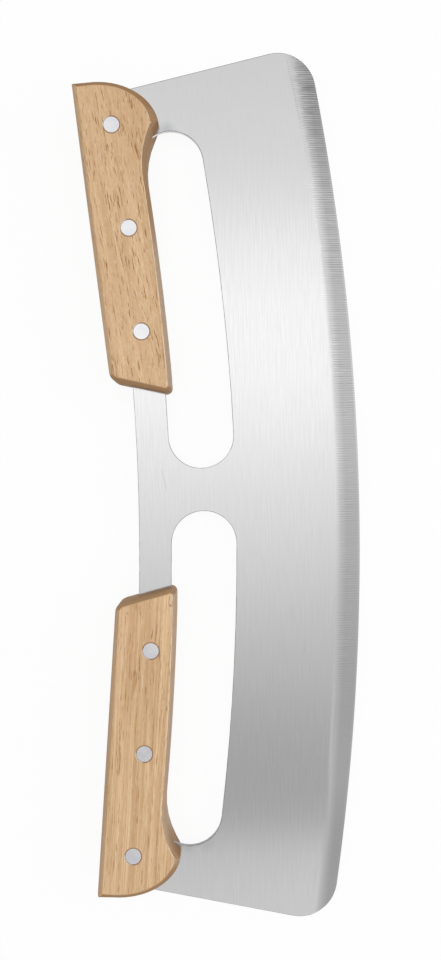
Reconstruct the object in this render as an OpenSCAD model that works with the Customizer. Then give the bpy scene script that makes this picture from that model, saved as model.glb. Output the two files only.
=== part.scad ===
// Rocking pizza knife: one slotted, curved blade with two riveted wooden handles.
// The knife lies on its rear scales, cutting edge towards -Y and front face up.
// Every long curve is an arc about one rocking centre, far above the handles.

/* [Blade] */
// Overall length of the blade, tip to tip
blade_l = 356; // [340:1:370]
// Radius of the cutting edge, which sets how far the knife rocks
edge_r = 1010; // [900:5:1200]
// Thickness of the sheet
steel_t = 2; // [1.6:0.1:2.4]
// Height of steel from the cutting edge up to the hand slots
rim_w = 50.9; // [44:0.1:56]
// Lean of each blade end, which makes the blade longest near the cutting edge
end_lean = 12.4; // [9:0.1:14]
// Radius of the two lower corners
tip_r = 15.5; // [10:0.5:18]

/* [Ground edge] */
// Width of the ground bevel at mid length
bevel_mid_w = 7.2; // [5:0.1:10]
// Width of the ground bevel at the blade ends
bevel_end_w = 9.6; // [7:0.1:12]
// Width of the honed strip along the cutting edge
hone_w = 0.7; // [0.4:0.1:1.5]
// Thickness left at the cutting edge
edge_t = 0.16; // [0.1:0.02:0.3]
// Thickness where the honed strip meets the bevel
shoulder_t = 0.44; // [0.4:0.02:0.8]

/* [Hand slots] */
// Width of each slot, from the blade up to the tang
slot_w = 26.8; // [24:0.1:29]
// Width of the steel web between the two slots
web_w = 17.7; // [12:0.1:24]
// Distance from each blade end to the outer end of its slot
slot_inset = 30.7; // [29:0.1:33]
// Width of the tang that carries the handles
tang_w = 13.3; // [12:0.1:15]

/* [Handles] */
// Thickness of one handle over both scales
grip_t = 19; // [16:0.5:24]
// Distance from each blade end to the middle rivet of its handle
grip_inset = 72; // [71:0.5:73]
// Tilt of the right handle, raised at its outer end
right_tilt = 5.7; // [5:0.05:6]
// Tilt of the left handle, raised at its outer end
left_tilt = 5.25; // [5:0.05:6]
// Height of the spine side above the middle rivet
spine_h = 15.5; // [14:0.1:17]
// Depth of the finger side below the middle rivet, at the finger hollow
finger_out_h = 9.5; // [8.8:0.1:10]
// Depth of the finger side below the middle rivet, at the inner end
finger_in_h = 8.6; // [8:0.1:9]
// Radius of the slight swell along the finger side
swell_r = 1300; // [900:50:3000]
// Length from the middle rivet to the inner end, along the spine
inner_l = 59.5; // [57:0.1:61]
// Lean of the inner end, longer on the finger side
inner_lean = 19; // [12:0.5:22]
// Radius of the inner corner on the spine side
spine_corner_r = 4.4; // [4:0.1:8]
// Radius of the inner corner on the finger side
finger_corner_r = 2.5; // [2:0.1:4]
// Radius of the outer corner on the spine side of the right handle
right_corner_r = 0.6; // [0.4:0.1:2]
// Radius of the outer corner on the spine side of the left handle
left_corner_r = 1.4; // [0.4:0.1:2]

/* [Nose of the handles] */
// Distance from the middle rivet to the start of the arched nose
nose_x = 40.5; // [39:0.1:42]
// Length of the arched nose of the right handle
right_nose_l = 20.3; // [18:0.1:21]
// Length of the arched nose of the left handle
left_nose_l = 19.7; // [18:0.1:21]
// Drop of the arched nose across the handle
nose_h = 26.3; // [25.5:0.1:28]
// Height above the middle rivet at which the outer end starts to arch
nose_start_h = 9; // [8:0.1:10]
// Sweep of the arch round to the point of the nose
nose_sweep = 84; // [78:1:88]
// Radius of the finger hollow behind the nose
hollow_r = 34; // [30:0.5:40]

/* [Broken edges of the wood] */
// Width of the broken edge along the spine side
spine_break = 2; // [1:0.1:2.2]
// Width of the broken edge along the finger side
finger_break = 1.3; // [0.8:0.1:1.8]
// Width of the broken edge round the inner end
inner_break = 1.7; // [1:0.1:2]
// Width of the broken edge at the top of the nose
nose_top_break = 2.4; // [1.5:0.1:3]
// Width of the broken edge under the nose of the right handle
right_nose_break = 3.4; // [2:0.1:3.6]
// Width of the broken edge under the nose of the left handle
left_nose_break = 2.4; // [2:0.1:3.6]

/* [Rivets] */
// Distance between neighbouring rivets
rivet_pitch = 41.8; // [38:0.1:42.5]
// Height of the line of rivets above the hand slots
rivet_rise = 7.2; // [6.2:0.1:7.4]
// Diameter of the flush rivet heads
head_d = 6.5; // [5.8:0.1:8]
// Thickness of a rivet head
head_t = 1.6; // [1:0.1:2]
// Outer diameter of the rivet tube
tube_d = 4.6; // [4:0.1:5]
// Diameter of the rivet pin inside the tube
pin_d = 3; // [2.4:0.1:3.2]
// Room left beyond the ends of the rivet tube and pin
rivet_end_gap = 0.6; // [0.4:0.1:1.5]

/* [Fits] */
// Radial clearance of each rivet in its holes
rivet_fit = 0.08; // [0.02:0.01:0.1]
// Radial clearance between rivet pin and tube
pin_fit = 0.02; // [0.01:0.01:0.05]
// Gap between the steel and the walls of its pocket in the wood
pocket_gap = 0.3; // [0.3:0.05:0.5]

/* [Hidden] */

steel_colour = [0.80, 0.81, 0.82];
oak_colour = [0.82, 0.69, 0.52];
rivet_colour = [0.88, 0.88, 0.90];

// How far a cutting solid runs past the surface it cuts.
past = 0.5;
// How far the arc of a rounded corner runs past the lines that it joins, so that it crosses them.
hair = 0.01;
arc_fn = 720;
hole_fn = 64;

right = 1;
left = -1;
front = 1;
rear = -1;

// Steps from the middle rivet of a handle, counted towards the blade end.
outer = 1;
middle = 0;
inner = -1;

// Radii of the arcs about the rocking centre, from the cutting edge up to the tang's spine.
slot_low_r = edge_r - rim_w;
slot_high_r = slot_low_r - slot_w;
slot_mid_r = (slot_low_r + slot_high_r) / 2;
rivet_r = slot_high_r - rivet_rise;
tang_r = slot_high_r - tang_w;

// Angles about the rocking centre of the round slot ends, the rivets and the blade ends.
slot_in_a = asin((web_w + slot_w) / 2 / slot_mid_r);
slot_out_a = asin((blade_l / 2 - slot_inset - slot_w / 2) / slot_mid_r);
grip_a = asin((blade_l / 2 - grip_inset) / rivet_r);
rivet_step_a = asin(rivet_pitch / rivet_r);
blade_end_a = asin(blade_l / 2 / edge_r);

// What differs between the two handles.
function tilt(side) = side == right ? right_tilt : left_tilt;
function corner_r(side) = side == right ? right_corner_r : left_corner_r;
function nose_l(side) = side == right ? right_nose_l : left_nose_l;
function nose_break(side) = side == right ? right_nose_break : left_nose_break;

// The outer spine corner of a handle is its highest point, measured from the middle rivet.
function corner_top(side) =
    (nose_x + nose_l(side) - corner_r(side)) * sin(tilt(side))
    + (spine_h - corner_r(side)) * cos(tilt(side))
    + corner_r(side);
grip_top = max(corner_top(right), corner_top(left));

// The rocking centre stands where the whole outline is centred on the origin.
rock_y = (edge_r + rivet_r * cos(grip_a) - grip_top) / 2;
mid_z = grip_t / 2;

// Centre of a rounded lower corner and the leaning end line that touches it.
tip = [blade_l / 2 - tip_r, -sqrt(pow(edge_r - tip_r, 2) - pow(blade_l / 2 - tip_r, 2))];
end_normal = [cos(end_lean), sin(end_lean)];
end_offset = tip * end_normal + tip_r;

// The nose arches down to its point, where the finger hollow meets it.
function nose_at(side, t) = [nose_x + nose_l(side) * cos(t), nose_start_h - nose_h * sin(t)];
function hollow_sweep(side) = acos(1 + (finger_out_h + nose_at(side, nose_sweep).y) / hollow_r);
function hollow_start(side) =
    [nose_at(side, nose_sweep).x - hollow_r * sin(hollow_sweep(side)), -finger_out_h];
function hollow_at(side, t) = hollow_start(side) + hollow_r * [sin(t), cos(t) - 1];

// Corners of the inner end before they are rounded.
spine_corner = [-inner_l, spine_h];
finger_corner = [-inner_l - (spine_h + finger_in_h) * tan(inner_lean), -finger_in_h];

nose_steps = 16;
hollow_steps = 5;
swell_steps = 8;
corner_steps = 5;
bevel_steps = 48;

// Steps of a broken edge from the side up to the face, as shares of its width: how far in, and
// how far below the face. A crisp edge is a flat chamfer and a soft one is rounded.
crisp_steps = [[0, 1.25], [0.08, 1.02], [0.9, 0.08], [1, 0]];
soft_steps = [[0, 1.2], [0.18, 0.7], [0.5, 0.3], [1, 0]];

function polar(r, a) = [r * sin(a), -r * cos(a)];
function unit(v) = v / norm(v);
function outward(p, q) = unit([q.y - p.y, p.x - q.x]);

// Blade

function end_x(y, grow) = (end_offset + grow - y * end_normal.y) / end_normal.x;

// The part of the plane between the two leaning blade ends.
module between_ends(grow) {
    y_high = -tang_r + blade_l / 4;
    y_low = -edge_r - blade_l / 4;
    polygon([
        [end_x(y_low, grow), y_low],
        [end_x(y_high, grow), y_high],
        [-end_x(y_high, grow), y_high],
        [-end_x(y_low, grow), y_low]
    ]);
}

module ring(r_in, r_out) {
    difference() {
        circle(r_out, $fn = arc_fn);
        circle(r_in, $fn = arc_fn);
    }
}

module slot_outline(shrink) {
    intersection() {
        ring(slot_high_r + shrink, slot_low_r - shrink);
        polygon([[0, 0], polar(2 * edge_r, slot_in_a), polar(2 * edge_r, slot_out_a)]);
    }
    for (a = [slot_in_a, slot_out_a]) {
        translate(polar(slot_mid_r, a)) circle(slot_w / 2 - shrink, $fn = hole_fn);
    }
}

// What a rounded lower corner leaves off between the end line and the cutting edge.
module corner_waste(grow) {
    reach = tip_r + grow + past;
    difference() {
        polygon([
            tip,
            tip + reach * unit(tip),
            tip + 1.2 * reach * (unit(tip) + end_normal),
            tip + reach * end_normal
        ]);
        translate(tip) circle(tip_r + grow + hair, $fn = hole_fn);
    }
}

// Outline of the sheet about the rocking centre, grown all round by grow.
module blade_outline(grow) {
    difference() {
        intersection() {
            ring(tang_r - grow, edge_r + grow);
            between_ends(grow);
        }
        for (side = [right, left]) {
            mirror([side == left ? 1 : 0, 0]) {
                slot_outline(grow);
                corner_waste(grow);
            }
        }
    }
}

// Section of the wedge that grinds one bevel, as radius and height above mid thickness.
function bevel_width(a) = bevel_mid_w + (bevel_end_w - bevel_mid_w) * pow(a / blade_end_a, 2);
function bevel_slope(w) = (steel_t - shoulder_t) / 2 / (w - hone_w);
function bevel_section(w) = [
    [edge_r - w - past, steel_t / 2 + past * bevel_slope(w)],
    [edge_r - hone_w, shoulder_t / 2],
    [edge_r + past, edge_t / 2 - past * (shoulder_t - edge_t) / 2 / hone_w],
    [edge_r + past, steel_t],
    [edge_r - w - past, steel_t]
];

module bevel_wedge() {
    last_a = blade_end_a + 1;
    corners = len(bevel_section(bevel_mid_w));
    points = [
        for (i = [0 : bevel_steps])
            let (a = last_a * (2 * i / bevel_steps - 1))
                for (p = bevel_section(bevel_width(a)))
                    [polar(p.x, a).x, polar(p.x, a).y, p.y]
    ];
    sides = [
        for (i = [0 : bevel_steps - 1])
            for (k = [0 : corners - 1])
                let (
                    a = i * corners + k,
                    b = i * corners + (k + 1) % corners
                )
                    each [[a, b, b + corners], [a, b + corners, a + corners]]
    ];
    first_cap = [for (k = [corners - 1 : -1 : 0]) k];
    last_cap = [for (k = [0 : corners - 1]) bevel_steps * corners + k];
    polyhedron(points, concat(sides, [first_cap, last_cap]), convexity = 4);
}

module blade() {
    color(steel_colour) translate([0, rock_y, mid_z]) {
        difference() {
            translate([0, 0, -steel_t / 2]) linear_extrude(steel_t) blade_outline(0);
            bevel_wedge();
            mirror([0, 0, 1]) bevel_wedge();
            for (side = [right, left], step = [outer, middle, inner]) {
                translate(concat(rivet_place(side, step), -steel_t))
                    cylinder(h = 2 * steel_t, d = tube_d + 2 * rivet_fit, $fn = hole_fn);
            }
        }
    }
}

// Handles

// Arc of steps points that rounds corner p between its neighbours, from the side of a to b.
function rounded(a, p, b, r) =
    let (
        ua = unit(a - p),
        ub = unit(b - p),
        half = acos(ua * ub) / 2,
        mid = p + unit(ua + ub) * r / sin(half),
        from = p + ua * r / tan(half) - mid,
        to = p + ub * r / tan(half) - mid
    )
    [
        for (i = [0 : corner_steps])
            let (t = i / corner_steps, turn = 180 - 2 * half)
                mid + (from * sin((1 - t) * turn) + to * sin(t * turn)) / sin(turn)
    ];

// Inner points of the arc of radius r from a to b, bulging to the right of the way.
function arc_between(a, b, r, steps) =
    let (
        half_a = asin(norm(b - a) / 2 / r),
        away = outward(a, b),
        mid = (a + b) / 2 - away * r * cos(half_a)
    )
    [
        for (i = [1 : steps - 1])
            let (t = half_a * (2 * i / steps - 1))
                mid + r * (away * cos(t) + unit(b - a) * sin(t))
    ];

function tagged(points, width) = [for (p = points) [p, width, 0]];

// Handle outline about the middle rivet. Each point has the width of the broken edge after it,
// and how soft that edge is there.
function grip_outline(side) =
    let (
        outer_corner = [nose_x + nose_l(side), spine_h],
        hollow_foot = hollow_start(side)
    )
    concat(
        [[outer_corner, spine_break, 1]],
        [
            for (p = rounded(outer_corner, spine_corner, finger_corner, spine_corner_r))
                [p, inner_break, p.y > spine_h - 0.2 * spine_corner_r ? 1 : 0]
        ],
        tagged(rounded(spine_corner, finger_corner, hollow_foot, finger_corner_r), finger_break),
        tagged(arc_between(finger_corner, hollow_foot, swell_r, swell_steps), finger_break),
        tagged(
            [for (i = [0 : hollow_steps - 1]) hollow_at(side, hollow_sweep(side) * i / hollow_steps)],
            finger_break
        ),
        [
            for (i = [0 : nose_steps])
                let (
                    t = 1 - i / nose_steps,
                    width = nose_top_break + (nose_break(side) - nose_top_break) * t * t
                )
                    [nose_at(side, nose_sweep * t), width, 0]
        ]
    );

// Inset of a corner whose two sides, with outward normals m and n, move in by c and d.
function inset(m, c, n, d) =
    let (turn = cross(m, n))
    turn > 0.3 ? [c * n.y - d * m.y, d * m.x - c * n.x] / turn : (m + n) * (c + d) / 2 / (1 + m * n);

function insets(outline) =
    let (n = len(outline))
    [
        for (i = [0 : n - 1])
            let (
                before = outline[(i + n - 1) % n],
                here = outline[i],
                after = outline[(i + 1) % n]
            )
                inset(outward(before[0], here[0]), before[1], outward(here[0], after[0]), here[1])
    ];

// One half of a handle, from its flat seat at height 0 up to its flat outer face.
module scale_body(side) {
    outline = grip_outline(side);
    moves = insets(outline);
    n = len(outline);
    rings = len(crisp_steps) + 1;
    points = concat(
        [for (p = outline) [p[0].x, p[0].y, 0]],
        [
            for (k = [0 : rings - 2])
                for (i = [0 : n - 1])
                    let (
                        s = crisp_steps[k] + outline[i][2] * (soft_steps[k] - crisp_steps[k]),
                        p = outline[i][0] - s[0] * moves[i]
                    )
                        [p.x, p.y, grip_t / 2 - s[1] * outline[i][1]]
        ]
    );
    sides = [
        for (k = [0 : rings - 2])
            for (i = [0 : n - 1])
                let (
                    a = k * n + i,
                    b = k * n + (i + 1) % n
                )
                    each [[a, a + n, b + n], [a, b + n, b]]
    ];
    seat = [for (i = [0 : n - 1]) i];
    face = [for (i = [n - 1 : -1 : 0]) (rings - 1) * n + i];
    polyhedron(points, concat(sides, [seat, face]), convexity = 6);
}

function rivet_place(side, step) =
    let (p = polar(rivet_r, grip_a + step * rivet_step_a))
    [side * p.x, p.y];

// What the rounded outer corner on the spine side leaves off.
module grip_corner_waste(side) {
    r = corner_r(side);
    translate([nose_x + nose_l(side) - r, spine_h - r]) difference() {
        square(r + past);
        circle(r + hair, $fn = hole_fn);
    }
}

module handle_scale(side, face) {
    color(oak_colour) translate([0, rock_y, mid_z]) mirror([0, 0, face == rear ? 1 : 0]) {
        difference() {
            mirror([side == left ? 1 : 0, 0, 0]) translate(polar(rivet_r, grip_a)) rotate(tilt(side))
                difference() {
                    scale_body(side);
                    translate([0, 0, -past]) linear_extrude(grip_t) grip_corner_waste(side);
                }
            translate([0, 0, -past]) linear_extrude(steel_t / 2 + past) blade_outline(pocket_gap);
            for (step = [outer, middle, inner]) {
                translate(rivet_place(side, step)) {
                    cylinder(h = grip_t, d = tube_d + 2 * rivet_fit, $fn = hole_fn);
                    translate([0, 0, mid_z - head_t])
                        cylinder(h = head_t + past, d = head_d + 2 * rivet_fit, $fn = hole_fn);
                }
            }
        }
    }
}

// Rivets

// Front half of a rivet: a flush head on a tube.
module rivet_tube(side, step) {
    color(rivet_colour) translate([0, rock_y, 0]) translate(rivet_place(side, step)) {
        translate([0, 0, grip_t - head_t]) cylinder(h = head_t, d = head_d, $fn = hole_fn);
        difference() {
            translate([0, 0, head_t + rivet_end_gap])
                cylinder(h = grip_t - 2 * head_t - rivet_end_gap, d = tube_d, $fn = hole_fn);
            cylinder(h = grip_t - head_t, d = pin_d + 2 * pin_fit, $fn = hole_fn);
        }
    }
}

// Rear half of a rivet: a flush head on a pin that is pressed into the tube.
module rivet_pin(side, step) {
    color(rivet_colour) translate([0, rock_y, 0]) translate(rivet_place(side, step)) {
        cylinder(h = head_t, d = head_d, $fn = hole_fn);
        cylinder(h = grip_t - head_t - rivet_end_gap, d = pin_d, $fn = hole_fn);
    }
}

blade();
handle_scale(right, front);  // right_front_scale
handle_scale(right, rear);  // right_rear_scale
handle_scale(left, front);  // left_front_scale
handle_scale(left, rear);  // left_rear_scale
rivet_tube(right, outer);  // right_outer_rivet_tube
rivet_pin(right, outer);  // right_outer_rivet_pin
rivet_tube(right, middle);  // right_middle_rivet_tube
rivet_pin(right, middle);  // right_middle_rivet_pin
rivet_tube(right, inner);  // right_inner_rivet_tube
rivet_pin(right, inner);  // right_inner_rivet_pin
rivet_tube(left, outer);  // left_outer_rivet_tube
rivet_pin(left, outer);  // left_outer_rivet_pin
rivet_tube(left, middle);  // left_middle_rivet_tube
rivet_pin(left, middle);  // left_middle_rivet_pin
rivet_tube(left, inner);  // left_inner_rivet_tube
rivet_pin(left, inner);  // left_inner_rivet_pin
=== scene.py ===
"""Rocking pizza knife: finishes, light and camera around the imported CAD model."""

import math

import bpy
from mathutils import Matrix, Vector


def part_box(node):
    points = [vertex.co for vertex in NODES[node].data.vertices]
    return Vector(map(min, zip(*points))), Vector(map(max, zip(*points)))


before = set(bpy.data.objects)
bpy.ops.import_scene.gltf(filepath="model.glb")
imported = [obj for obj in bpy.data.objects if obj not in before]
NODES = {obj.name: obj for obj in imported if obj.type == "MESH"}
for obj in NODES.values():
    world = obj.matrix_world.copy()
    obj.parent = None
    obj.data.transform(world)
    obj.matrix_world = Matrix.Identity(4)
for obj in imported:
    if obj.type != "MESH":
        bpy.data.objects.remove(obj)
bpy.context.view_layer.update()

MM = 0.001
SIDES = ("right", "left")
FACES = ("front", "rear")
STEPS = ("outer", "middle", "inner")

# The camera hangs above the knife and looks down, with the right handle at the top of the picture.
CAMERA_PLACE = (8.01 * MM, 1.40 * MM, 381.36 * MM)
CAMERA_TURN = (-0.665, -0.104, -91.646)
CAMERA_LENS = 33.77
CAMERA_SENSOR = 36.0

# Sizes of the knife that the finishes follow, in millimetres.
EDGE_R = 1010.0
BLADE_HALF = 178.0
BEVEL_MID_W = 7.2
BEVEL_END_W = 9.6
BEVEL_DEPTH = 0.78
HONE_W = 0.7
# The bevel leaves the face in a soft roll. Its start and end lie this far from the cutting edge at
# mid length, and this much nearer to it at the blade's ends.
ROLL_START, ROLL_START_DROP = 9.9, 2.2
ROLL_END, ROLL_END_DROP = 4.9, 2.2
# On the left half the roll lies this much further from the edge.
ROLL_LEFT = 1.0
# Grind lines: radians of their wave per millimetre, how far it wanders, how much closer it gets
# at the right end, the share of it that is regular, and how deep it is scored in millimetres.
GRIND_TURN = 6.3
GRIND_JITTER = 7.0
GRIND_TIGHTER = 50.0
GRIND_REGULAR = 0.62
SCORE_DEPTH = 0.002
# The dark ring of painted shade round each rivet, in the gap where the wood meets its head, fades out
# between these distances from its head.
RIVET_HEAD_R = 3.25
RING_IN, RING_OUT = 0.18, 0.50
# How far from an edge the painted highlight and shade on the wood's face reach.
EDGE_LIGHT_REACH = 0.9
# Painted shadow on the steel beside the noses of the handles, where the wood shades it: x, y, reach and
# strength.
NOSE_SHADOWS = ((147.9, 18.8, 4.5, 0.55), (-147.4, 18.5, 4.0, 0.35), (-146.6, 11.0, 5.0, 0.22))
# One scratch in the web, from end to end.
SCRATCH = ((0.0, 23.2), (9.1, 25.0))

# Each handle's grain. turn is its direction in degrees and seed its place in the noise. marks are
# small dark spots as x, y and radius in millimetres. pore, streak and fibre say how fast each
# changes along the grain, so larger is shorter, and band how fast the broad figure changes
# across it. pore_share, shade, ticks and lane are the strengths of the pores, the dark clouds,
# the short flecks and the long lanes. spine, finger, hollow and end say how dark those sides are,
# partly from their own darker tone and partly from painted shade.
GRAIN = {
    "right": {
        "turn": -8.2, "seed": 310.0, "marks": ((156.3, 33.5, 0.5),),
        "pore": 0.19, "streak": 0.10, "fibre": 0.18, "band": 0.30,
        "pore_share": 1.0, "shade": 0.20, "ticks": 0.45, "lane": 0.05,
        "spine": 0.50, "finger": 0.80, "hollow": 0.72, "end": 0.95,
    },
    "left": {
        "turn": 5.0, "seed": 870.0, "marks": ((-48.9, 39.9, 0.6), (-46.2, 22.5, 0.9)),
        "pore": 0.14, "streak": 0.05, "fibre": 0.09, "band": 0.40,
        "pore_share": 0.80, "shade": 0.35, "ticks": 0.32, "lane": 0.70,
        "spine": 0.78, "finger": 0.66, "hollow": 0.05, "end": 0.80,
    },
}
# The rear scales are cut from another place in the same wood.
REAR_SEED = 140.0
PORE_DEPTH = 0.04
OAK_DARK = (0.585, 0.375, 0.20)
OAK_LIGHT = (0.775, 0.55, 0.325)
OAK_WARM = (0.735, 0.48, 0.30)
OAK_STREAK = (0.53, 0.31, 0.145)
OAK_PORE = (0.33, 0.15, 0.06)
# The side colours below darken the wood's sides, partly as their own tone and partly as painted shade.
OAK_EDGE = (0.335, 0.18, 0.075)
OAK_SIDE = (0.44, 0.325, 0.245)
OAK_SPINE = (0.46, 0.31, 0.19)
# The pale tone of flecks and threads, and also the painted highlight along the finger-side edges.
OAK_ARRIS = (0.90, 0.76, 0.57)

# Light in the sky by its slope along the knife, from the left blade end to the right one.
SKY_ALONG = (
    (-0.90, 0.66),
    (-0.483, 0.71),
    (-0.438, 0.66),
    (-0.420, 0.63),
    (-0.396, 0.45),
    (-0.340, 0.44),
    (-0.282, 0.485),
    (-0.193, 0.625),
    (-0.103, 0.785),
    (-0.015, 0.93),
    (0.050, 1.06),
    (0.100, 1.135),
    (0.180, 1.145),
    (0.252, 1.03),
    (0.296, 0.91),
    (0.340, 0.83),
    (0.450, 0.76),
    (0.800, 0.74),
)
# Share of that light by its slope across the knife, over the right end and over the left half.
# It is darker before the cutting edge, and over the far left SKY_GLOW adds a paler band there.
SKY_ACROSS_RIGHT = (
    (-0.85, 1.25),
    (-0.66, 0.78),
    (-0.50, 0.74),
    (-0.40, 0.59),
    (-0.34, 0.61),
    (-0.17, 0.94),
    (-0.13, 1.09),
    (-0.05, 1.0),
    (0.80, 1.0),
)
SKY_ACROSS_LEFT = (
    (-0.85, 1.25),
    (-0.66, 0.86),
    (-0.50, 0.86),
    (-0.40, 0.75),
    (-0.32, 0.80),
    (-0.17, 0.98),
    (-0.12, 1.04),
    (-0.05, 1.0),
    (0.80, 1.0),
)
SKY_GLOW = ((-0.30, 0.0), (-0.24, 0.07), (-0.165, 0.17), (-0.12, 0.0))
# The sky is dimmer towards the horizon, which darkens whatever stands upright.
SKY_LOW = 0.5


def grey(level):
    """A plain grey colour."""
    return (level, level, level)


# Steel: its brushed face, the painted shadow beside the handles' noses and its scratch, the ground
# bevel, and the sheet's sawn edge.
FACE_DARK, FACE_LIGHT, FACE_MOTTLE = grey(0.765), grey(0.84), grey(0.795)
# The first grey here paints the shadow beside the handles' noses.
NOSE_SHADOW_GREY, SCRATCH_GREY = (0.50, 0.52, 0.56), grey(0.55)
# The last of the bevel greys paints shade onto it towards its ends.
GROUND_DARK, GROUND_TIP, GROUND_LIGHT, GROUND_SHADE = grey(0.57), grey(0.22), grey(0.97), grey(0.78)
CUT_RIGHT, CUT_LEFT = grey(0.66), grey(0.30)
# The broken edge's greys paint a dark shade line, near black at the right end.
ARRIS_SHADE, ARRIS_LIGHT, ARRIS_END_SHADE = grey(0.22), grey(0.60), grey(0.03)
RIVET_DARK, RIVET_LIGHT = (0.89, 0.89, 0.90), (0.97, 0.97, 0.975)
RIVET_CLOUD = (0.84, 0.82, 0.90)

# Widths in millimetres of the rounded edges, which scene.py adds to the exact solids.
BLADE_ROUND, WOOD_ROUND, RIVET_ROUND = 0.20, 0.14, 0.12
# In degrees: where a surface starts to look creased, and which edges are rounded, from and to.
BLADE_EDGES = (3.0, 40.0, 180.0)
WOOD_EDGES = (30.0, 34.0, 60.0)
RIVET_EDGES = (30.0, 60.0, 180.0)
UPRIGHT_CREASE = 30.0
# The blade's outer rim keeps its exact shape this far in from the cutting edge.
EXACT_RIM = 4.0
# Points closer than this are joined, and faces flatter than this many degrees are merged.
WELD_GAP = 0.001
FLAT_ANGLE = 0.3

# Lamps: name, energy, size and place. They light the wood and the paper.
LAMPS = (
    ("key", 6.2, 1.4, (0.0, 0.4, 1.6)),
    ("fill", 5.0, 1.2, (0.0, -1.0, 0.9)),
)
# The floor reaches this far each way in metres, and lies this far under the knife in millimetres.
FLOOR_HALF = 4.0
FLOOR_DROP = 0.2
PAPER = (0.90, 0.90, 0.90, 1.0)
# How much of the paper the eye sees as plain white.
PAPER_WHITE = 0.92


def edge_low():
    """The lowest point of the cutting edge, which sets where the rocking centre is."""
    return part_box("blade")[0][1] / MM


def middle(node):
    """Middle of a CAD node's box, in millimetres."""
    low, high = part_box(node)
    return [(a + b) / 2 / MM for a, b in zip(low, high)]


class Graph:
    """A short way to write a node tree."""

    def __init__(self, tree):
        self.tree = tree
        tree.nodes.clear()

    def add(self, kind, **settings):
        node = self.tree.nodes.new(kind)
        for name, value in settings.items():
            setattr(node, name, value)
        return node

    def put(self, value, socket):
        if isinstance(value, bpy.types.NodeSocket):
            self.tree.links.new(value, socket)
        else:
            socket.default_value = value

    def math(self, operation, *values):
        node = self.add("ShaderNodeMath", operation=operation)
        for value, socket in zip(values, node.inputs):
            self.put(value, socket)
        return node.outputs[0]

    def times(self, a, b):
        return self.math("MULTIPLY", a, b)

    def minus(self, a, b):
        return self.math("SUBTRACT", a, b)

    def vector(self, operation, a, b):
        node = self.add("ShaderNodeVectorMath", operation=operation)
        self.put(a, node.inputs[0])
        self.put(b, node.inputs[1])
        return node.outputs["Value" if operation == "DISTANCE" else "Vector"]

    def split(self, vector):
        node = self.add("ShaderNodeSeparateXYZ")
        self.put(vector, node.inputs[0])
        return node.outputs

    def join(self, x, y, z):
        node = self.add("ShaderNodeCombineXYZ")
        for value, socket in zip((x, y, z), node.inputs):
            self.put(value, socket)
        return node.outputs[0]

    def spread(self, x, along, y=0.0, across=0.0, lift=0.0):
        """A place in a noise that is stretched by its own factor each way."""
        return self.join(self.times(x, along), self.times(y, across), lift)

    def turned(self, vector, degrees):
        node = self.add("ShaderNodeVectorRotate", rotation_type="Z_AXIS")
        self.put(vector, node.inputs["Vector"])
        node.inputs["Angle"].default_value = math.radians(degrees)
        return node.outputs[0]

    def noise(self, vector, scale=1.0, detail=2.0, roughness=0.5, distortion=0.0):
        node = self.add("ShaderNodeTexNoise")
        self.put(vector, node.inputs["Vector"])
        node.inputs["Scale"].default_value = scale
        node.inputs["Detail"].default_value = detail
        node.inputs["Roughness"].default_value = roughness
        node.inputs["Distortion"].default_value = distortion
        return node.outputs["Fac"]

    def steps(self, value, low, high, to_low=0.0, to_high=1.0, smooth=True):
        """Maps low..high onto to_low..to_high and holds the ends."""
        kind = "SMOOTHSTEP" if smooth else "LINEAR"
        node = self.add("ShaderNodeMapRange", interpolation_type=kind)
        for item, socket in zip((value, low, high, to_low, to_high), node.inputs):
            self.put(item, socket)
        return node.outputs[0]

    def blend(self, share, a, b, kind="MIX"):
        """Mixes two colours."""
        node = self.add("ShaderNodeMix", data_type="RGBA", blend_type=kind)
        self.put(share, node.inputs["Factor"])
        for value, socket in ((a, node.inputs[6]), (b, node.inputs[7])):
            self.put((*value, 1.0) if isinstance(value, tuple) else value, socket)
        return node.outputs[2]

    def ramp(self, value, stops):
        """Grey levels at places between 0 and 1."""
        node = self.add("ShaderNodeValToRGB")
        self.put(value, node.inputs[0])
        points = node.color_ramp.elements
        while len(points) < len(stops):
            points.new(0.5)
        for point, (place, level) in zip(points, sorted(stops)):
            point.position = place
            point.color = (level, level, level, 1.0)
        return node.outputs[0]

    def bump(self, height, distance, strength=1.0):
        node = self.add("ShaderNodeBump")
        self.put(height, node.inputs["Height"])
        node.inputs["Distance"].default_value = distance
        node.inputs["Filter Width"].default_value = 0.03
        node.inputs["Strength"].default_value = strength
        return node.outputs[0]


def new_material(name):
    material = bpy.data.materials.new(name)
    material.use_nodes = True
    graph = Graph(material.node_tree)
    shader = graph.add("ShaderNodeBsdfPrincipled")
    output = graph.add("ShaderNodeOutputMaterial")
    graph.put(shader.outputs[0], output.inputs["Surface"])
    return material, graph, shader


def millimetres(graph):
    """Place in the part's own frame, in millimetres."""
    place = graph.add("ShaderNodeTexCoord").outputs["Object"]
    scaled = graph.add("ShaderNodeVectorMath", operation="SCALE")
    graph.put(place, scaled.inputs[0])
    scaled.inputs["Scale"].default_value = 1 / MM
    return scaled.outputs[0]


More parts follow.
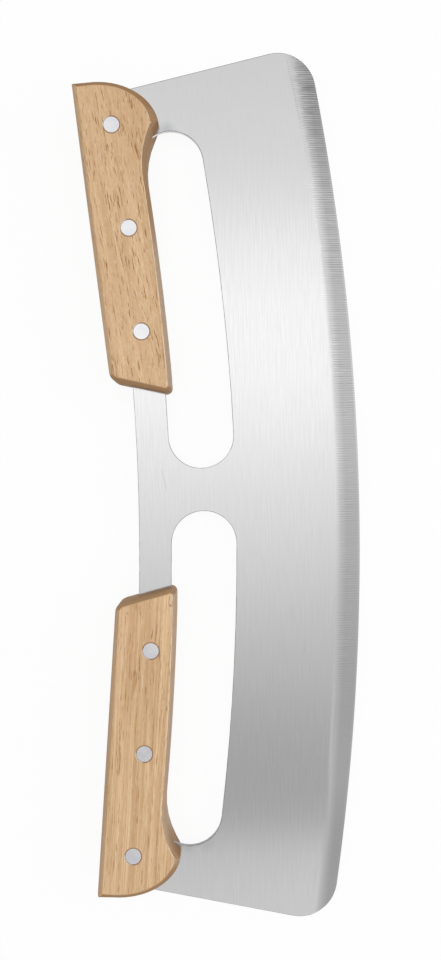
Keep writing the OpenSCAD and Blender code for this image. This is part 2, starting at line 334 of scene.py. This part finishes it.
def grind_lines(g, x, from_edge, along, tip):
    """Level of the grind lines, bold towards the right end and almost polished out on the left."""
    bold = g.times(g.steps(x, -35.0, 95.0, 0.28, 0.92), g.steps(x, -95.0, -70.0, 0.4, 1.0))
    patch = g.noise(g.spread(x, 0.07, from_edge, 0.22, 4.0), detail=2.0)
    patch = g.math("MAXIMUM", g.steps(patch, 0.36, 0.62, 0.25, 1.25), g.steps(x, 60.0, 120.0))
    bold = g.times(bold, patch)
    jitter = g.noise(g.spread(x, 0.30), detail=2.0)
    phase = g.math("MULTIPLY_ADD", x, GRIND_TURN, g.times(jitter, GRIND_JITTER))
    rightward = g.math("POWER", g.math("MAXIMUM", along, 0.0), 3.0)
    phase = g.math("MULTIPLY_ADD", rightward, GRIND_TIGHTER, phase)
    wave = g.math("MULTIPLY_ADD", g.math("SINE", phase), 0.5, 0.5)
    grit = g.noise(g.spread(x, 1.3, from_edge, 0.12), detail=3.0)
    grit = g.times(g.steps(grit, 0.3, 0.7), 1.0 - GRIND_REGULAR)
    lines = g.math("MULTIPLY_ADD", wave, GRIND_REGULAR, grit)
    return g.math("MULTIPLY_ADD", g.minus(lines, 0.5), bold, 0.5)


def steel_face(g, x, y):
    """Colour of the brushed face, with painted shadow beside the handles' noses and one scratch."""
    polish = g.steps(g.math("ABSOLUTE", g.minus(x, 70.0)), 15.0, 80.0, 1.0, 0.62)
    polish = g.times(polish, g.steps(x, 105.0, 140.0, 1.0, 0.45))
    brush = g.noise(g.spread(x, 0.07, y, 1.5), detail=4.0, roughness=0.7)
    brush = g.math("MULTIPLY_ADD", g.minus(g.steps(brush, 0.30, 0.70), 0.5), polish, 0.5)
    mottle = g.noise(g.spread(x, 0.03, y, 0.08), detail=3.0)
    face = g.blend(brush, FACE_DARK, FACE_LIGHT)
    face = g.blend(g.steps(mottle, 0.35, 0.75, 0.0, 0.35), face, FACE_MOTTLE)

    across = g.join(x, y, 0.0)
    # Painted shadow where the handles' noses shade the steel.
    for mark_x, mark_y, mark_r, share in NOSE_SHADOWS:
        off = g.vector("DISTANCE", across, (mark_x, mark_y, 0.0))
        face = g.blend(g.steps(off, mark_r, 0.0, 0.0, share), face, NOSE_SHADOW_GREY)

    (ax, ay), (bx, by) = SCRATCH
    run = g.math("DIVIDE", g.minus(x, ax), bx - ax)
    off = g.math("ABSOLUTE", g.minus(y, g.math("MULTIPLY_ADD", run, by - ay, ay)))
    inside = g.steps(g.math("ABSOLUTE", g.minus(run, 0.5)), 0.5, 0.4)
    scratch = g.times(g.steps(off, 0.35, 0.05, 0.0, 0.35), inside)
    return g.blend(scratch, face, SCRATCH_GREY)


def ground_steel(g, x, lines, tip):
    """Colour of the ground bevel, deepest between the lines at the right tip, with painted shade
    towards both ends and a little over the left half.
    """
    patches = g.noise(g.spread(x, 0.022, 1.0, 9.0), detail=2.0)
    ground = g.blend(lines, g.blend(tip, GROUND_DARK, GROUND_TIP), GROUND_LIGHT)
    ground = g.blend(g.steps(patches, 0.42, 0.62, 0.0, 0.25), ground, FACE_LIGHT)
    # Painted shade: the bevel is darkened towards both ends and a little over the left half.
    ends = g.math("MAXIMUM", g.steps(x, 105.0, 145.0, 0.0, 0.65), g.steps(x, -110.0, -150.0, 0.0, 0.82))
    light_and_shade = g.math("MAXIMUM", ends, g.steps(x, 20.0, -10.0, 0.0, 0.20))
    return g.blend(light_and_shade, ground, GROUND_SHADE, kind="MULTIPLY")


def rolled_height(g, from_edge, width, roll_start, roll_end):
    """Height in millimetres that makes the bevel leave the face in a soft roll, not at a corner."""
    roll = g.minus(roll_start, roll_end)
    rolled = g.steps(from_edge, roll_start, roll_end, 0.0, 1.0, smooth=False)
    eased = g.times(g.times(g.times(rolled, rolled), roll), 0.5)
    cut_down = g.steps(from_edge, width, roll_end, 0.0, g.minus(width, roll_end), smooth=False)
    slope = g.math("DIVIDE", BEVEL_DEPTH, g.minus(width, HONE_W))
    return g.times(g.minus(cut_down, eased), slope)


def steel_material():
    """Satin steel brushed lengthwise, with grind lines across its rounded bevel."""
    material, g, shader = new_material("satin_steel")
    x, y, _ = g.split(millimetres(g))
    up = g.minus(y, edge_low() + EDGE_R)
    radius = g.math("POWER", g.math("ADD", g.times(x, x), g.times(up, up)), 0.5)
    from_edge = g.minus(EDGE_R, radius)
    along = g.math("DIVIDE", x, BLADE_HALF)
    outward = g.times(along, along)
    width = g.math("MULTIPLY_ADD", outward, BEVEL_END_W - BEVEL_MID_W, BEVEL_MID_W)
    shift = g.times(g.steps(x, -10.0, -60.0, 0.0, ROLL_LEFT), g.steps(x, -115.0, -145.0, 1.0, 0.1))
    roll_start = g.math("ADD", g.math("MULTIPLY_ADD", outward, -ROLL_START_DROP, ROLL_START), shift)
    roll_end = g.math("ADD", g.math("MULTIPLY_ADD", outward, -ROLL_END_DROP, ROLL_END), shift)

    # The grind lines cut small teeth into the start of the bevel, longest at the right tip.
    tip = g.steps(x, 125.0, 168.0)
    lines = grind_lines(g, x, from_edge, along, tip)
    teeth = g.times(g.minus(lines, 0.5), g.math("MULTIPLY_ADD", tip, 4.4, 3.0))
    start = g.math("ADD", g.math("MULTIPLY_ADD", tip, 1.4, roll_start), teeth)
    reach = g.steps(x, -100.0, -135.0, 1.4, 3.2)
    on_bevel = g.steps(from_edge, g.math("ADD", start, 0.2), g.minus(start, reach))
    on_face = g.minus(1.0, on_bevel)

    # What stands upright is the sawn edge of the sheet.
    facing = g.math("ABSOLUTE", g.split(g.add("ShaderNodeNewGeometry").outputs["Normal"])[2])
    cut = g.steps(facing, 0.75, 0.25)
    colour = g.blend(on_bevel, steel_face(g, x, y), ground_steel(g, x, lines, tip))
    colour = g.blend(cut, colour, g.blend(g.steps(x, -90.0, -120.0), CUT_RIGHT, CUT_LEFT))
    g.put(colour, shader.inputs["Base Color"])

    fine = g.noise(g.spread(x, 0.12, y, 9.0), detail=2.0)
    rough = g.math("MULTIPLY_ADD", on_bevel, 0.07, 0.11)
    rough = g.math("MULTIPLY_ADD", fine, 0.05, rough)
    g.put(g.math("MULTIPLY_ADD", cut, 0.20, rough), shader.inputs["Roughness"])
    shader.inputs["Metallic"].default_value = 1.0
    shader.inputs["Anisotropic"].default_value = 0.85
    g.put(g.join(on_bevel, on_face, 0.0), shader.inputs["Tangent"])

    height = g.math("ADD", g.times(fine, on_face), g.times(lines, on_bevel))
    roll = rolled_height(g, from_edge, width, roll_start, roll_end)
    height = g.math("MULTIPLY_ADD", height, SCORE_DEPTH, roll)
    g.put(g.bump(height, 1.0 * MM), shader.inputs["Normal"])
    return material


def steel_arris_material():
    """The line where the sheet's edge is broken, painted dark as shade and blackest along the right end
    of the blade.
    """
    material, g, shader = new_material("steel_arris")
    place = millimetres(g)
    light_and_shade = g.noise(place, scale=0.35, detail=3.0)
    # The dark grey and the near-black right end are painted shade.
    line = g.blend(g.steps(light_and_shade, 0.35, 0.70), ARRIS_SHADE, ARRIS_LIGHT)
    line = g.blend(g.steps(g.split(place)[0], 150.0, 158.0, 0.0, 0.9), line, ARRIS_END_SHADE)
    g.put(line, shader.inputs["Base Color"])
    g.put(g.steps(light_and_shade, 0.3, 0.7, 0.30, 0.42), shader.inputs["Roughness"])
    shader.inputs["Metallic"].default_value = 1.0
    return material


def wood_colour(g, grain, place_x, stretched, fibre):
    """Colour of the bare wood, and the share of it that is open pores."""
    figure = g.noise(stretched(0.010, grain["band"]), detail=3.0, roughness=0.6, distortion=0.5)
    shade = g.noise(stretched(0.022, 0.075), detail=1.5)
    cluster = g.noise(stretched(0.03, 0.16), detail=2.0)
    streaks = g.noise(stretched(grain["streak"], 1.25), detail=2.0, roughness=0.6)
    pores = g.noise(stretched(grain["pore"], 2.6), detail=1.5, roughness=0.5)
    lane = g.noise(stretched(0.004, 0.26), detail=2.0, roughness=0.55)
    thread = g.noise(stretched(0.016, 2.8), detail=1.5)
    ticks = g.noise(stretched(2.4 * grain["pore"], 3.4), detail=1.0)

    edge = g.steps(cluster, 0.35, 0.65, 0.66, 0.595)
    share = g.steps(pores, edge, g.math("ADD", edge, 0.05), 0.0, grain["pore_share"])
    share = g.times(share, g.steps(place_x, -135.0, -85.0, 0.70, 1.0))
    outer = g.steps(g.math("ABSOLUTE", place_x), 95.0, 150.0, 0.0, 0.36)

    colour = g.blend(g.steps(figure, 0.36, 0.64), OAK_DARK, OAK_LIGHT)
    layers = (
        (g.steps(fibre, 0.38, 0.66, 0.0, 0.55), OAK_DARK),
        (g.steps(fibre, 0.52, 0.30, 0.0, 0.5), OAK_LIGHT),
        (g.steps(cluster, 0.62, 0.38, 0.0, 0.45), OAK_WARM),
        (g.steps(streaks, 0.54, 0.68, 0.0, 0.5), OAK_STREAK),
        (outer, OAK_DARK),
        (g.steps(shade, 0.50, 0.66, 0.0, grain["shade"]), OAK_DARK),
        (g.steps(lane, 0.49, 0.60, 0.0, 0.45 * grain["lane"]), OAK_STREAK),
        (g.steps(lane, 0.47, 0.37, 0.0, grain["lane"]), OAK_LIGHT),
        (g.steps(thread, 0.56, 0.66, 0.0, 0.95 * grain["lane"]), OAK_STREAK),
        (g.steps(thread, 0.42, 0.32, 0.0, 0.35 * grain["lane"]), OAK_ARRIS),
        (share, OAK_PORE),
        (g.steps(ticks, 0.60, 0.72, 0.0, grain["ticks"]), OAK_STREAK),
        (g.steps(ticks, 0.38, 0.28, 0.0, 0.9 * grain["ticks"]), OAK_ARRIS),
    )
    for layer_share, tint in layers:
        colour = g.blend(layer_share, colour, tint)
    return colour, share


def face_marks(g, colour, side, place):
    """Adds the dark rings of painted shade round the rivets and the small marks of one handle."""
    across = g.join(*g.split(place)[:2], 0.0)
    for step in STEPS:
        x, y, _ = middle(f"{side}_{step}_rivet_tube")
        off = g.vector("DISTANCE", across, (x, y, 0.0))
        # Painted shade in the gap round the rivet head.
        ring = g.steps(off, RIVET_HEAD_R + RING_OUT, RIVET_HEAD_R + RING_IN, 0.0, 0.95)
        colour = g.blend(ring, colour, OAK_PORE)
    for x, y, mark_r in GRAIN[side]["marks"]:
        off = g.vector("DISTANCE", across, (x, y, 0.0))
        colour = g.blend(g.steps(off, mark_r, 0.3 * mark_r, 0.0, 0.6), colour, OAK_PORE)
    return colour


def wood_sides(g, colour, grain, place_x, upright, normal):
    """Darkens the upright sides, most of all the end grain and the hollow: partly their own darker
    tone, partly painted shade that differs with the way each side faces.
    """
    nx, ny, _ = normal
    apart = g.math("ABSOLUTE", place_x)
    # Painted shade in part: sides facing the finger edge and sides facing the spine get different
    # shares.
    side_share = g.steps(ny, -0.1, 0.1, grain["finger"], grain["spine"])
    side_colour = g.blend(g.steps(ny, -0.1, 0.1), OAK_SIDE, OAK_SPINE)
    colour = g.blend(g.times(upright, side_share), colour, side_colour)
    # The finger hollow is darkened as painted shade, only where it faces the cutting edge.
    in_hollow = g.steps(apart, 92.0, 112.0, 0.0, grain["hollow"])
    in_hollow = g.times(in_hollow, g.steps(ny, -0.1, -0.4))
    end_grain = g.steps(g.math("ABSOLUTE", nx), 0.10, 0.45)
    end_grain = g.times(end_grain, g.steps(apart, 60.0, 95.0, 0.80, 1.0))
    end_share = g.math("MAXIMUM", in_hollow, g.times(end_grain, grain["end"]))
    return g.blend(g.times(upright, end_share), colour, OAK_EDGE)


def wood_edge_light(g, colour, place_x, upright):
    """Paints a highlight on the face beside the finger side, and paints shade on it beside the ends and
    the noses.
    """
    soft = g.add("ShaderNodeBevel", samples=8)
    soft.inputs["Radius"].default_value = EDGE_LIGHT_REACH * MM
    bx, by, bz = g.split(soft.outputs[0])
    by_edge = g.times(g.steps(g.math("ABSOLUTE", bz), 0.998, 0.95), g.minus(1.0, upright))
    at_nose = g.steps(g.times(bx, g.math("SIGN", place_x)), 0.04, 0.16)
    # Painted highlight beside the finger-side edges, away from the noses.
    painted_highlight = g.times(g.steps(by, -0.04, -0.20, 0.0, 0.75), g.minus(1.0, at_nose))
    colour = g.blend(g.times(by_edge, painted_highlight), colour, OAK_ARRIS)
    # Painted shade beside the ends and the noses.
    dark = g.times(g.steps(g.math("ABSOLUTE", bx), 0.05, 0.20), g.steps(by, -0.10, 0.0, 0.0, 0.45))
    dark = g.math("MAXIMUM", dark, g.times(at_nose, 0.50))
    return g.blend(g.times(by_edge, dark), colour, OAK_EDGE)


def oak_material(side, face):
    """Pale open-pored wood: long figure, fine streaks, short dark pores, darker sides that are partly
    painted shade, and painted highlight and shade along the face's edges.
    """
    material, g, shader = new_material(f"oak_{side}_{face}")
    grain = GRAIN[side]
    place = millimetres(g)
    place_x = g.split(place)[0]
    seed = grain["seed"] + (REAR_SEED if face == "rear" else 0.0)
    u, v, w = g.split(g.vector("ADD", g.turned(place, grain["turn"]), (seed, 0.4 * seed, 0.0)))

    def stretched(along, across):
        return g.join(g.times(u, along), g.times(v, across), g.times(w, across))

    fibre = g.noise(stretched(grain["fibre"], 2.1), detail=4.0, roughness=0.7)
    normal = g.split(g.add("ShaderNodeNewGeometry").outputs["Normal"])
    upright = g.steps(g.math("ABSOLUTE", normal[2]), 0.97, 0.84)
    colour, pore_share = wood_colour(g, grain, place_x, stretched, fibre)
    colour = face_marks(g, colour, side, place)
    colour = wood_sides(g, colour, grain, place_x, upright, normal)
    colour = wood_edge_light(g, colour, place_x, upright)
    g.put(colour, shader.inputs["Base Color"])

    rough = g.steps(fibre, 0.3, 0.7, 0.48, 0.62)
    g.put(g.math("MULTIPLY_ADD", upright, 0.18, rough), shader.inputs["Roughness"])
    shader.inputs["Specular IOR Level"].default_value = 0.3
    height = g.minus(g.times(fibre, 0.3), pore_share)
    g.put(g.bump(height, PORE_DEPTH * MM, 0.5), shader.inputs["Normal"])
    return material


def arris_material():
    """The thin line along the wood's edges, with a painted highlight on the finger side and painted
    shade along the lower crease on the spine side.
    """
    material, g, shader = new_material("oak_arris")
    place = millimetres(g)
    light_and_shade = g.noise(place, scale=0.25, detail=3.0)
    nx, ny, nz = g.split(g.add("ShaderNodeNewGeometry").outputs["Normal"])
    outward = g.times(nx, g.math("SIGN", g.split(place)[0]))
    # Painted highlight on the finger side, broken up by noise.
    painted_highlight = g.times(g.steps(ny, 0.0, -0.35), g.steps(outward, 0.30, 0.10))
    share = g.times(g.steps(light_and_shade, 0.30, 0.55), painted_highlight)
    line = g.blend(share, OAK_DARK, OAK_ARRIS)
    # Painted shade along the lower crease on the spine side.
    lower = g.times(g.steps(g.math("ABSOLUTE", nz), 0.62, 0.45), g.steps(ny, 0.3, 0.7, 0.0, 0.9))
    g.put(g.blend(lower, line, OAK_PORE), shader.inputs["Base Color"])
    g.put(g.steps(light_and_shade, 0.3, 0.7, 0.42, 0.55), shader.inputs["Roughness"])
    return material


def rivet_material():
    """Rivet metal, ground flush with the wood along the handle and lightly polished."""
    material, g, shader = new_material("rivet_metal")
    x, y, z = g.split(millimetres(g))
    scratch = g.noise(g.join(g.times(x, 0.5), g.times(y, 7.0), z), detail=3.0)
    cloud = g.noise(g.join(x, y, z), scale=0.22, detail=2.0)
    colour = g.blend(g.steps(scratch, 0.3, 0.7), RIVET_DARK, RIVET_LIGHT)
    colour = g.blend(g.steps(cloud, 0.42, 0.62, 0.0, 0.55), colour, RIVET_CLOUD)
    g.put(colour, shader.inputs["Base Color"])
    g.put(g.steps(scratch, 0.3, 0.7, 0.24, 0.36), shader.inputs["Roughness"])
    shader.inputs["Metallic"].default_value = 1.0
    g.put(g.bump(scratch, 0.004 * MM, 0.5), shader.inputs["Normal"])
    return material


def edge_nodes(name, sharp, low, high, keep_radius=None):
    """Node group that smooths the curved faces of a CAD mesh and marks its edges that turn by low
    to high degrees for rounding. Edges beyond keep_radius from the rocking centre stay as they are."""
    tree = bpy.data.node_groups.new(name, "GeometryNodeTree")
    tree.interface.new_socket("Geometry", in_out="INPUT", socket_type="NodeSocketGeometry")
    tree.interface.new_socket("Geometry", in_out="OUTPUT", socket_type="NodeSocketGeometry")
    g = Graph(tree)
    source = g.add("NodeGroupInput")
    angle = g.add("GeometryNodeInputMeshEdgeAngle").outputs["Unsigned Angle"]

    plain = g.add("GeometryNodeRemoveAttribute")
    g.put(source.outputs[0], plain.inputs["Geometry"])
    plain.inputs["Name"].default_value = "custom_normal"

    smooth = g.add("GeometryNodeSetShadeSmooth", domain="FACE")
    g.put(plain.outputs[0], smooth.inputs["Geometry"])
    smooth.inputs["Shade Smooth"].default_value = True

    ends = g.add("GeometryNodeInputMeshEdgeVertices")
    run = g.vector("SUBTRACT", ends.outputs["Position 1"], ends.outputs["Position 2"])
    length = g.vector("DISTANCE", ends.outputs["Position 1"], ends.outputs["Position 2"])
    upright = g.math("GREATER_THAN", g.math("ABSOLUTE", g.split(run)[2]), g.times(length, 0.9))
    limit = g.steps(upright, 0.0, 1.0, math.radians(sharp), math.radians(UPRIGHT_CREASE), smooth=False)
    crease = g.add("GeometryNodeSetShadeSmooth", domain="EDGE")
    g.put(smooth.outputs[0], crease.inputs["Geometry"])
    g.put(g.math("GREATER_THAN", angle, limit), crease.inputs["Selection"])
    crease.inputs["Shade Smooth"].default_value = False

    above = g.math("GREATER_THAN", angle, math.radians(low))
    below = g.math("LESS_THAN", angle, math.radians(high))
    chosen = g.times(above, below)
    if keep_radius is not None:
        x, y, _ = g.split(g.add("GeometryNodeInputPosition").outputs[0])
        centre = (0.0, (edge_low() + EDGE_R) * MM, 0.0)
        out = g.vector("DISTANCE", g.join(x, y, 0.0), centre)
        chosen = g.times(chosen, g.math("LESS_THAN", out, keep_radius * MM))
    mark = g.add("GeometryNodeStoreNamedAttribute", data_type="FLOAT", domain="EDGE")
    g.put(crease.outputs[0], mark.inputs["Geometry"])
    mark.inputs["Name"].default_value = "bevel_weight_edge"
    g.put(chosen, mark.inputs["Value"])
    result = g.add("NodeGroupOutput")
    g.put(mark.outputs[0], result.inputs[0])
    return tree


def soften(obj, tree, width, slot=-1):
    """Rounds the marked edges of a CAD node by width, in millimetres, and paints them from a slot."""
    weld = obj.modifiers.new("weld", "WELD")
    weld.merge_threshold = WELD_GAP * MM
    flatten = obj.modifiers.new("flatten", "DECIMATE")
    flatten.decimate_type = "DISSOLVE"
    flatten.angle_limit = math.radians(FLAT_ANGLE)
    marks = obj.modifiers.new("edges", "NODES")
    marks.node_group = tree
    rounding = obj.modifiers.new("arris", "BEVEL")
    rounding.limit_method = "WEIGHT"
    rounding.width = width * MM
    rounding.segments = 2
    rounding.harden_normals = True
    rounding.use_clamp_overlap = False
    rounding.material = slot


def set_materials(obj, *materials):
    obj.data.materials.clear()
    for material in materials:
        obj.data.materials.append(material)


def finish_nodes():
    """Gives every CAD node its finish and its rounded edges."""
    set_materials(NODES["blade"], steel_material(), steel_arris_material())
    blade_edges = edge_nodes("blade_edges", *BLADE_EDGES, keep_radius=EDGE_R - EXACT_RIM)
    soften(NODES["blade"], blade_edges, BLADE_ROUND, slot=1)
    rivet_metal = rivet_material()
    arris = arris_material()
    wood_edges = edge_nodes("wood_edges", *WOOD_EDGES)
    rivet_edges = edge_nodes("rivet_edges", *RIVET_EDGES)
    for side in SIDES:
        for face in FACES:
            scale = NODES[f"{side}_{face}_scale"]
            set_materials(scale, oak_material(side, face), arris)
            soften(scale, wood_edges, WOOD_ROUND, slot=1)
        for step in STEPS:
            for half in ("tube", "pin"):
                rivet = NODES[f"{side}_{step}_rivet_{half}"]
                set_materials(rivet, rivet_metal)
                soften(rivet, rivet_edges, RIVET_ROUND)


def make_floor():
    """A wide pale floor under the knife, near white to the eye, that keeps the shadow."""
    mesh = bpy.data.meshes.new("floor")
    half = FLOOR_HALF
    corners = [(-half, -half, 0), (half, -half, 0), (half, half, 0), (-half, half, 0)]
    mesh.from_pydata(corners, [], [(0, 1, 2, 3)])
    floor = bpy.data.objects.new("floor", mesh)
    bpy.context.scene.collection.objects.link(floor)
    floor.location.z = -FLOOR_DROP * MM

    material = bpy.data.materials.new("floor_paper")
    material.use_nodes = True
    g = Graph(material.node_tree)
    paper = g.add("ShaderNodeBsdfDiffuse")
    paper.inputs["Color"].default_value = PAPER
    white = g.add("ShaderNodeEmission")
    white.inputs["Strength"].default_value = 1.0
    ray = g.add("ShaderNodeLightPath")
    seen = g.math("MAXIMUM", ray.outputs["Is Camera Ray"], ray.outputs["Is Glossy Ray"])
    seen = g.math("MAXIMUM", seen, ray.outputs["Is Transmission Ray"])
    mixed = g.add("ShaderNodeMixShader")
    g.put(g.times(seen, PAPER_WHITE), mixed.inputs[0])
    g.put(paper.outputs[0], mixed.inputs[1])
    g.put(white.outputs[0], mixed.inputs[2])
    output = g.add("ShaderNodeOutputMaterial")
    g.put(mixed.outputs[0], output.inputs["Surface"])
    floor.data.materials.append(material)


def by_slope(g, slope, stops):
    """Level by slope, from stops that lie between -1 and 1."""
    place = g.steps(slope, -1.0, 1.0, smooth=False)
    return g.ramp(place, [((stop + 1) / 2, level) for stop, level in stops])


def light_sky():
    """A soft studio sky that the steel mirrors. The camera itself sees plain white behind it."""
    world = bpy.data.worlds.new("studio")
    bpy.context.scene.world = world
    world.use_nodes = True
    g = Graph(world.node_tree)
    x, y, z = g.split(g.add("ShaderNodeTexCoord").outputs["Generated"])
    height = g.math("MAXIMUM", z, 0.05)
    along = g.math("DIVIDE", x, height)
    across = g.math("DIVIDE", y, height)
    band = by_slope(g, along, SKY_ALONG)
    right = by_slope(g, across, SKY_ACROSS_RIGHT)
    left = by_slope(g, across, SKY_ACROSS_LEFT)
    side = g.blend(g.steps(along, -0.25, 0.15), left, right)
    glow = by_slope(g, across, SKY_GLOW)
    side = g.math("MULTIPLY_ADD", glow, g.steps(along, -0.17, -0.25), side)
    level = g.times(band, g.times(side, g.steps(z, 0.30, 0.82, SKY_LOW, 1.0)))
    background = g.add("ShaderNodeBackground")
    seen = g.add("ShaderNodeLightPath").outputs["Is Camera Ray"]
    g.put(g.blend(seen, level, grey(1.0)), background.inputs["Color"])
    output = g.add("ShaderNodeOutputWorld")
    g.put(background.outputs[0], output.inputs["Surface"])


def add_lamp(name, energy, size, place):
    """A large soft lamp aimed at the knife, which the steel doesn't mirror."""
    data = bpy.data.lights.new(name, "AREA")
    data.shape = "DISK"
    data.size = size
    data.energy = energy
    lamp = bpy.data.objects.new(name, data)
    bpy.context.scene.collection.objects.link(lamp)
    lamp.location = place
    lamp.rotation_euler = (-math.atan2(place[1], place[2]), 0.0, 0.0)
    lamp.visible_glossy = False
    lamp.visible_camera = False


def add_camera():
    data = bpy.data.cameras.new("camera")
    data.lens = CAMERA_LENS
    data.sensor_width = CAMERA_SENSOR
    camera = bpy.data.objects.new("camera", data)
    bpy.context.scene.collection.objects.link(camera)
    camera.location = CAMERA_PLACE
    camera.rotation_euler = [math.radians(angle) for angle in CAMERA_TURN]
    bpy.context.scene.camera = camera


add_camera()
light_sky()
for lamp_name, lamp_energy, lamp_size, lamp_place in LAMPS:
    add_lamp(lamp_name, lamp_energy, lamp_size, lamp_place)
make_floor()
finish_nodes()
bpy.context.scene.view_settings.view_transform = "Standard"
